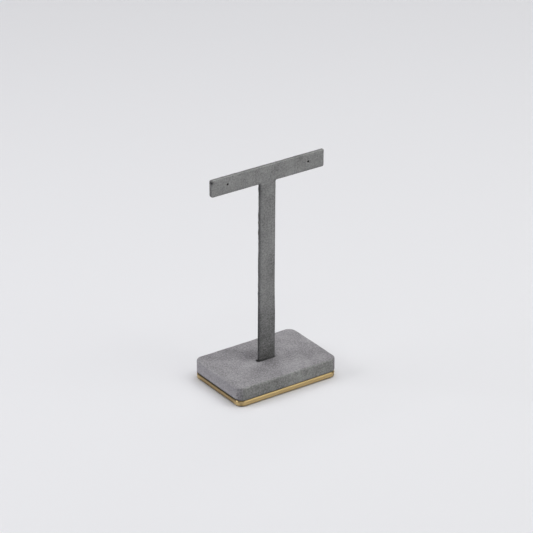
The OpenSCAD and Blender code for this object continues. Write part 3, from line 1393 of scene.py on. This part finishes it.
@dataclass
class BrassPlate:
    """The bevelled plate under the pad, with its countersunk holes."""

    corner_r: float = 4.85
    top_bevel: float = 1.0
    foot_bevel: float = 0.6
    # Radius that finishing leaves on each bevel's edges
    arris_r: float = 0.14
    # Rows up the edge lie at most this far apart, to carry the painted dark reflection and shade
    row_h: float = 0.2
    # How far in the underside and the top run before one face closes each
    rim_w: float = 4.0
    # Steps on half an end, round a corner and on half a side
    steps: tuple[int, int, int] = (6, 20, 8)
    hole_r: float = 1.55
    head_r: float = 2.85
    # An edge that turns by more degrees than this stays sharp
    sharp_from: float = 32.0
    # How dark the painted reflection and shade on the left end are at heights up it: foot, flat side,
    # upper bevel and seam
    end_heights: tuple[float, ...] = (0.0, 1.0, 2.2, 3.15, 3.4, 3.9)
    end_painted_dark: tuple[float, ...] = (0.65, 0.55, 0.22, 0.0, 0.95, 1.0)
    # Lengths over which it comes in along and across the plate
    end_soft: tuple[float, float] = (1.5, 2.5)
    # How uneven it is from front to back, and the width of its streaks
    end_streak: tuple[float, float] = (0.1, 3.0)
    # Heights between which the upper bevel takes over, and how dark its painted reflection is
    bevel_from: tuple[float, float] = (2.6, 2.9)
    bevel_painted_dark: float = 0.2
    # The corner's painted dark reflection is darkest where it has turned this far from the front, in
    # degrees, and its reach
    corner_turn: float = 36.0
    corner_reach: float = 16.0
    # How dark it is there, how much more at the foot, and the heights between which the foot ends
    corner_painted_dark: float = 0.34
    corner_foot: float = 0.2
    corner_foot_z: tuple[float, float] = (1.6, 1.0)

    def __post_init__(self) -> None:
        """Takes the size and place from the CAD node."""
        low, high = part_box("base_plate")
        self.foot, self.top = low.z / MM, high.z / MM
        self.half_l, self.half_w = high.x / MM, high.y / MM

    def ring(self, inset: float, z: float) -> np.ndarray:
        """Ring round the plate."""
        flat = rounded(self.half_l - inset, self.half_w - inset, self.corner_r - inset, self.steps)
        return lift(flat, z)

    def profile(self) -> list[tuple[float, float]]:
        """Insets and heights up the plate's edge, with each corner eased and rows close together.

        Returns:
            Pairs of inset and height, from the underside to the top.
        """
        corners = [
            (self.rim_w, self.foot),
            (self.foot_bevel, self.foot),
            (0.0, self.foot + self.foot_bevel),
            (0.0, self.top - self.top_bevel),
            (self.top_bevel, self.top),
            (self.rim_w, self.top),
        ]
        eased = [corners[0]]
        for before, here, after in zip(corners, corners[1:], corners[2:]):
            b, h, a = (np.array(p) for p in (before, here, after))
            start = h + (b - h) / np.linalg.norm(b - h) * self.arris_r
            stop = h + (a - h) / np.linalg.norm(a - h) * self.arris_r
            for t in np.linspace(0, 1, 5):
                eased.append(tuple((1 - t) ** 2 * start + 2 * t * (1 - t) * h + t**2 * stop))
        eased.append(corners[-1])
        rows = eased[:1]
        for before, after in zip(eased, eased[1:]):
            steps = math.ceil((after[1] - before[1]) / self.row_h) or 1
            rows += [tuple(p) for p in np.linspace(before, after, steps + 1)[1:]]
        return rows

    def build(self, screws: "PlateScrews") -> bpy.types.Object:
        """Makes the plate with its holes and dresses it.

        Args:
            screws: The screws, which say where the holes are.

        Returns:
            The piece.
        """
        rings = [self.ring(inset, z) for inset, z in self.profile()]
        piece = piece_from("brass_plate", *loft(rings, Ends.CAPPED))
        cutter = screws.cutter(self.foot, self.top, self.hole_r, self.head_r)
        cut = piece.modifiers.new("screw_holes", "BOOLEAN")
        cut.object, cut.operation, cut.solver = cutter, "DIFFERENCE", "EXACT"
        flatten(piece)
        bpy.data.objects.remove(cutter)
        keep_sharp(piece, self.sharp_from)
        # Painted dark reflection and shade on the left end, bevel, seam, corner and foot
        wear(piece, "painted_reflection_and_shade", self.painted_reflection_and_shade)
        piece.data.materials.clear()
        piece.data.materials.append(BRASS.material())
        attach(piece, BODY)
        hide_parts("base_plate")
        return piece

    def painted_reflection_and_shade(self, place: Vector) -> float:
        """How far dark reflection and shade are painted on the brass: a little on the bevel, and more
        on the left end, in the seam and near the foot.

        Args:
            place: Place in millimetres.

        Returns:
            0 for none, up to 1.
        """
        along, across = self.half_l - self.corner_r, self.half_w - self.corner_r
        soft_l, soft_w = self.end_soft
        on_end = ramp(-place.x, along, along + soft_l) * ramp(abs(place.y), across, across - soft_w)
        height = place.z - self.foot
        unevenness, streak_w = self.end_streak
        dark = float(np.interp(height, self.end_heights, self.end_painted_dark))
        dark += unevenness * ripple((0.0, place.y, 0.0), streak_w, seed=6.0)
        on_bevel = ramp(height, *self.bevel_from)
        past = max(abs(place.x) - along, 0.0), max(abs(place.y) - across, 0.0)
        turned = math.degrees(math.atan2(*past))
        at_corner = self.corner_painted_dark + self.corner_foot * ramp(height, *self.corner_foot_z)
        at_corner *= bell(turned - self.corner_turn, self.corner_reach) * (1 - on_bevel)
        return max(on_end * min(max(dark, 0.0), 1.0), self.bevel_painted_dark * on_bevel, at_corner)


def flatten(piece: bpy.types.Object) -> None:
    """Turns a piece and its modifiers into a plain mesh.

    Args:
        piece: The piece, which keeps its name.
    """
    shaped = piece.evaluated_get(bpy.context.evaluated_depsgraph_get())
    mesh = bpy.data.meshes.new_from_object(shaped)
    piece.modifiers.clear()
    piece.data = mesh


def keep_sharp(piece: bpy.types.Object, degrees: float) -> None:
    """Shades a piece smooth, apart from its sharp edges.

    Args:
        piece: The piece.
        degrees: An edge that turns by more than this stays sharp.
    """
    mesh = piece.data
    mesh.shade_smooth()
    mesh.set_sharp_from_angle(angle=math.radians(degrees))


@dataclass
class PlateScrews:
    """Countersunk wood screws with a rolled thread and a cross recess."""

    # How far the screws stand from the plate's middle, along and across
    half_x: float = 27.65
    half_y: float = 15.0
    # Radius over the thread, at its root and of the head
    r: float = 1.5
    root_r: float = 1.05
    head_r: float = 2.8
    head_h: float = 1.3
    # Heights above the head's face where the thread starts and the screw ends
    thread_start: float = 4.1
    length: float = 8.9
    point: float = 1.5
    pitch: float = 1.1
    around: int = 36
    # The plain shank's share of the thread's radius, and the share left at the very tip
    shank_share: float = 0.94
    tip_share: float = 0.12
    # The cross recess: depth, half the width and length of its slots, the slope of their walls,
    # and the distance from the middle at which it would run out
    recess_depth: float = 1.0
    recess_half_w: float = 0.4
    recess_half_l: float = 1.35
    recess_wall: float = 0.22
    recess_end_r: float = 2.2
    sharp_from: float = 50.0

    def places(self) -> list[tuple[float, float]]:
        """Where the screws stand."""
        return [(x, y) for x in (-self.half_x, self.half_x) for y in (-self.half_y, self.half_y)]

    def cutter(self, foot: float, top: float, hole_r: float, head_r: float) -> bpy.types.Object:
        """Solid that cuts the countersunk holes.

        Args:
            foot: Underside of the plate.
            top: Top of the plate.
            hole_r: Radius of the hole.
            head_r: Radius of the countersink at the underside.

        Returns:
            An object with one turned cutter for each hole.
        """
        past, around = 1.0, 40
        steps = [(head_r + past, foot - past), (hole_r, foot + head_r - hole_r), (hole_r, top + past)]
        shells = [
            loft([lift(arc(x, y, r, 0, 360, around)[:-1], z) for r, z in steps], Ends.CAPPED)
            for x, y in self.places()
        ]
        return piece_from("hole_cutter", *merge(shells), smooth=False)

    def radius(self, height: float, turn: float) -> float:
        """Radius of the screw at a height and an angle.

        Args:
            height: Height above the face of the head.
            turn: Angle round the screw, in turns.

        Returns:
            The radius.
        """
        if height < self.head_h:
            return self.head_r - (self.head_r - self.r) * height / self.head_h
        if height < self.thread_start:
            return self.r * self.shank_share
        ridge = 1 - abs(2 * ((height / self.pitch - turn) % 1.0) - 1)
        body = self.root_r + (self.r - self.root_r) * max(0.0, 2 * ridge - 1)
        left = (self.length - height) / self.point
        return body * min(1.0, self.tip_share + (1 - self.tip_share) * left)

    def recess(self, x: float, y: float) -> float:
        """Depth of the cross recess.

        Args:
            x: Place on the head's face along one slot.
            y: Place along the other.

        Returns:
            The depth there.
        """
        depth = 0.0
        for along, across in ((abs(x), abs(y)), (abs(y), abs(x))):
            edge = min(self.recess_half_w - across, self.recess_half_l - along)
            depth = max(depth, ramp(edge, 0.0, self.recess_wall))
        return depth * self.recess_depth * max(0.0, 1 - math.hypot(x, y) / self.recess_end_r)

    def one(self) -> bpy.types.Object:
        """Makes one screw, with its head's face on the XY plane and its point up.

        Returns:
            The screw.
        """
        turns = np.arange(self.around) / self.around
        rings = []
        for share in np.linspace(0.02, 1.0, 16):
            ring = arc(0, 0, self.head_r * share, 0, 360, self.around)[:-1]
            rings.append(lift(ring, np.array([self.recess(x, y) for x, y in ring])))
        heights = [self.head_h * 0.5, self.head_h, self.head_h + 0.05, self.thread_start - 0.1]
        heights += list(np.arange(self.thread_start, self.length, self.pitch / 10)) + [self.length]
        for height in heights:
            r = np.array([self.radius(height, turn) for turn in turns])
            xy = np.stack([r * np.cos(turns * 2 * np.pi), r * np.sin(turns * 2 * np.pi)], axis=1)
            rings.append(lift(xy, height))
        return piece_from("plate_screw_set", *loft(rings, Ends.CAPPED))

    def build(self, face_z: float) -> bpy.types.Object:
        """Makes the set of screws with Geometry Nodes, and dresses it.

        Args:
            face_z: Height of the heads' faces.

        Returns:
            The piece.
        """
        piece = self.one()
        sizes = {
            "Spacing along": 2 * self.half_x * MM,
            "Spacing across": 2 * self.half_y * MM,
            "Height": face_z * MM,
        }
        tree = new_tree("screws_at_corners", "Screw", sizes, "Screws")
        screw, along, across, height, _ = add(tree, "NodeGroupInput").outputs
        corners = add(tree, "GeometryNodeMeshGrid", {0: along, 1: across, 2: 2, 3: 2}).outputs[0]
        lifted = add(tree, "ShaderNodeCombineXYZ", {2: height}).outputs[0]
        placed = add(tree, "GeometryNodeSetPosition", {0: corners, "Offset": lifted}).outputs[0]
        copies = add(tree, "GeometryNodeInstanceOnPoints", {"Points": placed, "Instance": screw})
        hand_over(tree, copies.outputs[0], ZINC)
        use_tree(piece, tree, sizes)
        keep_sharp(piece, self.sharp_from)
        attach(piece, BODY)
        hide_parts("plate_screws")
        return piece


def new_tree(name: str, given: str, sizes: Iterable[str], made: str) -> bpy.types.NodeTree:
    """Starts a Geometry Nodes tree with a named input for each size.

    Args:
        name: Name of the tree.
        given: Name of the geometry that it takes.
        sizes: Names of its sizes.
        made: Name of the geometry that it makes.

    Returns:
        The tree.
    """
    tree = bpy.data.node_groups.new(name, "GeometryNodeTree")
    tree.interface.new_socket(given, in_out="INPUT", socket_type="NodeSocketGeometry")
    for size in sizes:
        tree.interface.new_socket(size, in_out="INPUT", socket_type="NodeSocketFloat")
    tree.interface.new_socket(made, in_out="OUTPUT", socket_type="NodeSocketGeometry")
    return tree


def hand_over(tree: bpy.types.NodeTree, copies: bpy.types.NodeSocket, finish: Finish) -> None:
    """Ends a tree: makes its copies real, gives them their finish and puts them out.

    Args:
        tree: The tree.
        copies: Socket that carries the copies.
        finish: Their finish.
    """
    real = add(tree, "GeometryNodeRealizeInstances", {0: copies}).outputs[0]
    dressed = add(tree, "GeometryNodeSetMaterial", {0: real, 2: finish.material()})
    add(tree, "NodeGroupOutput", {0: dressed.outputs[0]})


def use_tree(piece: bpy.types.Object, tree: bpy.types.NodeTree, values: dict[str, float]) -> None:
    """Runs a Geometry Nodes tree on a piece and keeps the result as its mesh.

    Args:
        piece: Object whose mesh is the tree's geometry input.
        tree: The tree.
        values: Input name with its value.
    """
    modifier = piece.modifiers.new(tree.name, "NODES")
    modifier.node_group = tree
    for socket in tree.interface.items_tree:
        if socket.in_out == "INPUT" and socket.name in values:
            modifier[socket.identifier] = values[socket.name]
    flatten(piece)


@dataclass
class RawEdgeNap:
    """Loose fibres along the cut edges of the suede, grown by Geometry Nodes on a thin ribbon."""

    outline: TOutline
    # Depths between which the ribbon runs, behind the steel's middle
    y_from: float = 0.35
    y_to: float = 1.2
    # How far in from the T's outline the ribbon stands
    inset: float = 0.05
    density_per_mm2: float = 5.0
    fibre_l: float = 0.34
    fibre_r: float = 0.014
    # How far each fibre leans either way, in radians, and its least and greatest scale
    lean: tuple[float, float, float] = (0.9, 0.9, 3.1)
    scale_from: tuple[float, float, float] = (0.8, 0.8, 0.4)
    scale_to: tuple[float, float, float] = (1.2, 1.2, 1.3)
    # How far the glue has darkened the fibres
    glue_tone: float = 0.8
    seed: int = 11

    def ribbon(self) -> bpy.types.Object:
        """Makes the strip round the T's back edge that the fibres grow from.

        Returns:
            The strip as an object.
        """
        path = self.outline.path(self.inset)
        rings = [stand(path, y) for y in (self.y_from, self.y_to)]
        size = len(path)
        faces = [(i, i + 1, size + i + 1, size + i) for i in range(size - 1)]
        mesh = bpy.data.meshes.new("raw_edge_nap")
        mesh.from_pydata((np.concatenate(rings) * MM).tolist(), [], faces)
        piece = bpy.data.objects.new("raw_edge_nap", mesh)
        bpy.context.scene.collection.objects.link(piece)
        return piece

    def tree(self, sizes: Iterable[str]) -> bpy.types.NodeTree:
        """Builds the tree that grows the fibres.

        Args:
            sizes: Names of its sizes: density, fibre length and fibre radius.

        Returns:
            The tree.
        """
        tree = new_tree("nap_on_ribbon", "Ribbon", sizes, "Nap")
        ribbon, density, length, radius, _ = add(tree, "NodeGroupInput").outputs
        sown = {"Mesh": ribbon, "Density": density, "Seed": self.seed}
        spread = add(tree, "GeometryNodeDistributePointsOnFaces", sown).outputs
        cone = {"Vertices": 3, "Radius Top": 0.0, "Radius Bottom": radius, "Depth": length}
        fibre = add(tree, "GeometryNodeMeshCone", cone, fill_type="NONE").outputs[0]
        either_way = {0: tuple(-a for a in self.lean), 1: self.lean, "Seed": self.seed}
        lean = add(tree, "FunctionNodeRandomValue", either_way, data_type="FLOAT_VECTOR").outputs[0]
        turn = add(tree, "FunctionNodeEulerToRotation", {0: lean}).outputs[0]
        stood = {0: spread["Rotation"], 1: turn}
        bent = add(tree, "FunctionNodeRotateRotation", stood, rotation_space="LOCAL").outputs[0]
        range_of = {0: self.scale_from, 1: self.scale_to, "Seed": self.seed + 1}
        grown = add(tree, "FunctionNodeRandomValue", range_of, data_type="FLOAT_VECTOR").outputs[0]
        each = {"Points": spread["Points"], "Instance": fibre, "Rotation": bent, "Scale": grown}
        copies = add(tree, "GeometryNodeInstanceOnPoints", each).outputs[0]
        hand_over(tree, copies, UPRIGHT_SUEDE)
        return tree

    def build(self) -> bpy.types.Object:
        """Grows the fibres and dresses them.

        Returns:
            The piece.
        """
        piece = self.ribbon()
        sizes = {
            "Density": self.density_per_mm2 / (MM * MM),
            "Fibre length": self.fibre_l * MM,
            "Fibre radius": self.fibre_r * MM,
        }
        use_tree(piece, self.tree(sizes), sizes)
        wear(piece, "edge", lambda place: self.glue_tone)
        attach(piece, BODY)
        return piece


@dataclass
class FeltLiner:
    """The felt sheet under the plate, with a soft cut edge."""

    corner_r: float = 3.25
    soft_r: float = 0.2
    # How far the cut edge wanders, and the width of its waves
    wander: float = 0.06
    wander_l: float = 1.6
    # Its faces are rings at these shares of half its width, counted in from the edge
    ring_shares: tuple[float, ...] = (0.75, 0.5, 0.25, 0.08)
    # Steps on half an end, round a corner and on half a side
    steps: tuple[int, int, int] = (18, 10, 28)

    def ring(self, half_l: float, half_w: float, inset: float) -> np.ndarray:
        """Flat ring round the liner, which wanders where it is the cut edge.

        Args:
            half_l: Half the liner's length.
            half_w: Half its width.
            inset: Distance in from its edge.

        Returns:
            The ring.
        """
        least_r, mean_r = 0.4, 30.0
        corner_r = max(self.corner_r - inset, least_r)
        ring = rounded(half_l - inset, half_w - inset, corner_r, self.steps)
        if inset > self.soft_r:
            return ring
        out = np.array([self.wander * ripple((x, y, 0), self.wander_l, seed=2.0) for x, y in ring])
        return ring * (1 + out / mean_r)[:, None]

    def build(self) -> bpy.types.Object:
        """Makes the liner and dresses it.

        Returns:
            The piece.
        """
        low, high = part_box("underside_liner")
        foot, top = low.z / MM, high.z / MM
        half_l, half_w = high.x / MM, high.y / MM
        soft = fillet(self.soft_r, 3)
        steps = [(half_w * share, foot) for share in self.ring_shares]
        steps += [(inset, foot + height) for inset, height in soft]
        steps += [(inset, top - depth) for depth, inset in soft]
        steps += [(half_w * share, top) for share in self.ring_shares[::-1]]
        rings = [lift(self.ring(half_l, half_w, inset), z) for inset, z in steps]
        piece = piece_from("felt_liner", *loft(rings, Ends.CAPPED))
        piece.data.materials.append(FELT.material())
        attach(piece, BODY)
        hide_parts("underside_liner")
        return piece


@dataclass
class HiddenParts:
    """The nodes that keep their solids: the fibreboard block and the steel T."""

    finishes: tuple[tuple[str, Finish], ...] = (("base_core", BOARD), ("upright_core", STEEL))

    def dress(self) -> list[bpy.types.Object]:
        """Gives each its finish.

        Returns:
            The dressed nodes.
        """
        dressed = []
        for node, finish in self.finishes:
            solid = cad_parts[node]
            solid.data.materials.clear()
            solid.data.materials.append(finish.material())
            dressed.append(solid)
        return dressed


# Studio


@dataclass(frozen=True)
class Softbox:
    """A softbox: azimuth from the front and elevation in degrees, power in watts, and width,
    height and distance in metres."""

    azimuth: float
    elevation: float
    power: float
    width: float
    height: float
    distance: float
    tint: str = "#ffffff"


class Lamp(Enum):
    """The softboxes round the object."""

    OVERHEAD = Softbox(0.0, 89.0, 30.4, 2.4, 2.4, 2.0)
    HIGH_RIGHT = Softbox(90.0, 65.0, 14.5, 2.4, 2.4, 2.0)
    LEFT = Softbox(-117.0, 32.0, 5.2, 0.74, 0.6, 1.4)
    FRONT_RIGHT = Softbox(42.0, 42.0, 3.2, 0.78, 0.78, 1.4, tint="#fdfff5")


@dataclass
class Studio:
    """Paper sweep, softboxes and the camera that stands where the photo's stood."""

    # The camera's place round the object and its roll, in degrees, and how far off it stands
    azimuth: float = -35.25
    elevation: float = 26.39
    roll: float = 0.434
    distance: float = 1916.7
    # The height that it looks at, and how far it stands aside from there, to the right and up
    aim_z: float = 70.0
    pan_right: float = 0.08
    pan_up: float = 8.12
    # Its focal length in the photo's pixels
    focal_px: float = 3018.4
    # What the softboxes are turned to, in metres above the floor
    lit_z_m: float = 0.06
    # Half the side of the floor
    floor_half: float = 6000.0
    # The wall as it shows, the light that it gives, and the dark room above it
    wall: float = 0.8
    wall_light: float = 0.02
    ceiling: float = 0.02
    # Elevations in degrees between which the wall fades out
    wall_edge: tuple[float, float] = (6.0, 14.0)

    def spot(self, azimuth: float, elevation: float) -> Vector:
        """Direction from the object to a point round it."""
        a, e = math.radians(azimuth), math.radians(elevation)
        return Vector((math.sin(a) * math.cos(e), -math.cos(a) * math.cos(e), math.sin(e)))

    def place_camera(self) -> bpy.types.Object:
        """Makes the camera.

        Returns:
            The camera object.
        """
        back = self.spot(self.azimuth, self.elevation)
        a, r = math.radians(self.azimuth), math.radians(self.roll)
        right = Vector((math.cos(a), math.sin(a), 0))
        up = back.cross(right)
        right, up = math.cos(r) * right + math.sin(r) * up, math.cos(r) * up - math.sin(r) * right
        place = Vector((0, 0, self.aim_z)) + back * self.distance
        place += right * self.pan_right + up * self.pan_up
        lens = bpy.data.cameras.new("photo_camera")
        lens.sensor_width = 36.0
        lens.lens = self.focal_px / PHOTO_SIDE * lens.sensor_width
        lens.clip_start, lens.clip_end = 0.05, 50.0
        camera = bpy.data.objects.new("photo_camera", lens)
        turn = Matrix((right, up, back)).transposed().to_4x4()
        camera.matrix_world = Matrix.Translation(place * MM) @ turn
        bpy.context.scene.collection.objects.link(camera)
        bpy.context.scene.camera = camera
        return camera

    def hang(self, lamp: Lamp) -> None:
        """Hangs one softbox.

        Args:
            lamp: Which softbox.
        """
        softbox = lamp.value
        box = bpy.data.lights.new("softbox_" + lamp.name.lower(), "AREA")
        box.shape, box.size, box.size_y = "RECTANGLE", softbox.width, softbox.height
        box.energy = softbox.power
        box.color = linear(softbox.tint)[:3]
        hung = bpy.data.objects.new(box.name, box)
        back = self.spot(softbox.azimuth, softbox.elevation)
        hung.rotation_mode = "QUATERNION"
        hung.rotation_quaternion = back.to_track_quat("Z", "Y")
        hung.location = back * softbox.distance + Vector((0, 0, self.lit_z_m))
        bpy.context.scene.collection.objects.link(hung)

    def room(self) -> bpy.types.World:
        """Makes the room: a low pale wall all round, which lights little, and dark above it.

        Returns:
            The world.
        """
        world = bpy.data.worlds.new("studio_room")
        world.use_nodes = True
        tree = world.node_tree
        tree.nodes.clear()
        way = add(tree, "ShaderNodeTexCoord").outputs["Generated"]
        height = add(tree, "ShaderNodeSeparateXYZ", {0: way}).outputs[2]
        low, high = (math.sin(math.radians(e)) for e in self.wall_edge)
        way_of = add(tree, "ShaderNodeLightPath").outputs
        shown = way_of["Is Camera Ray"]
        for other in ("Is Glossy Ray", "Is Transmission Ray"):
            either = {0: shown, 1: way_of[other]}
            shown = add(tree, "ShaderNodeMath", either, operation="MAXIMUM").outputs[0]
        wall = add(tree, "ShaderNodeMapRange", {0: shown, 3: self.wall_light, 4: self.wall}).outputs[0]
        span = {0: height, 1: low, 2: high, 3: wall, 4: self.ceiling}
        share = add(tree, "ShaderNodeMapRange", span, interpolation_type="SMOOTHSTEP").outputs[0]
        shade = add(tree, "ShaderNodeBackground", {"Color": linear("#ffffff"), "Strength": share})
        add(tree, "ShaderNodeOutputWorld", {0: shade.outputs[0]})
        return world

    def build(self) -> None:
        """Sets the floor, the lights, the world and the camera."""
        corners = self.floor_half * np.array([(-1, -1, 0), (1, -1, 0), (1, 1, 0), (-1, 1, 0)], float)
        floor = piece_from("paper_floor", corners, [(0, 1, 2, 3)], smooth=False)
        floor.data.materials.append(PAPER.material())
        for lamp in Lamp:
            self.hang(lamp)
        bpy.context.scene.world = self.room()
        bpy.context.scene.view_settings.view_transform = "Standard"
        self.place_camera()


def main() -> None:
    """Builds and dresses each sub-assembly, then the studio."""
    logging.basicConfig(level=logging.INFO, format="%(name)s: %(message)s")
    low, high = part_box("upright_cover_front")
    outline = TOutline(half_l=high.x / MM, top=high.z / MM, foot=low.z / MM)
    holes = PinHoles(outline)
    screws = PlateScrews()
    plate = BrassPlate()
    front, back = (TCover(face, outline, holes) for face in Face)
    covers = [front.build(), back.build(), RawEdgeNap(outline).build()]
    front.declare(covers[0], covers[1:])
    made = [
        *covers,
        SuedePad().build(),
        plate.build(screws),
        screws.build(plate.foot),
        FeltLiner().build(),
        *HiddenParts().dress(),
    ]
    for piece in made:
        LOG.info("%s: %d faces", piece.name, len(piece.data.polygons))
    Studio().build()


if __name__ == "__main__":
    main()
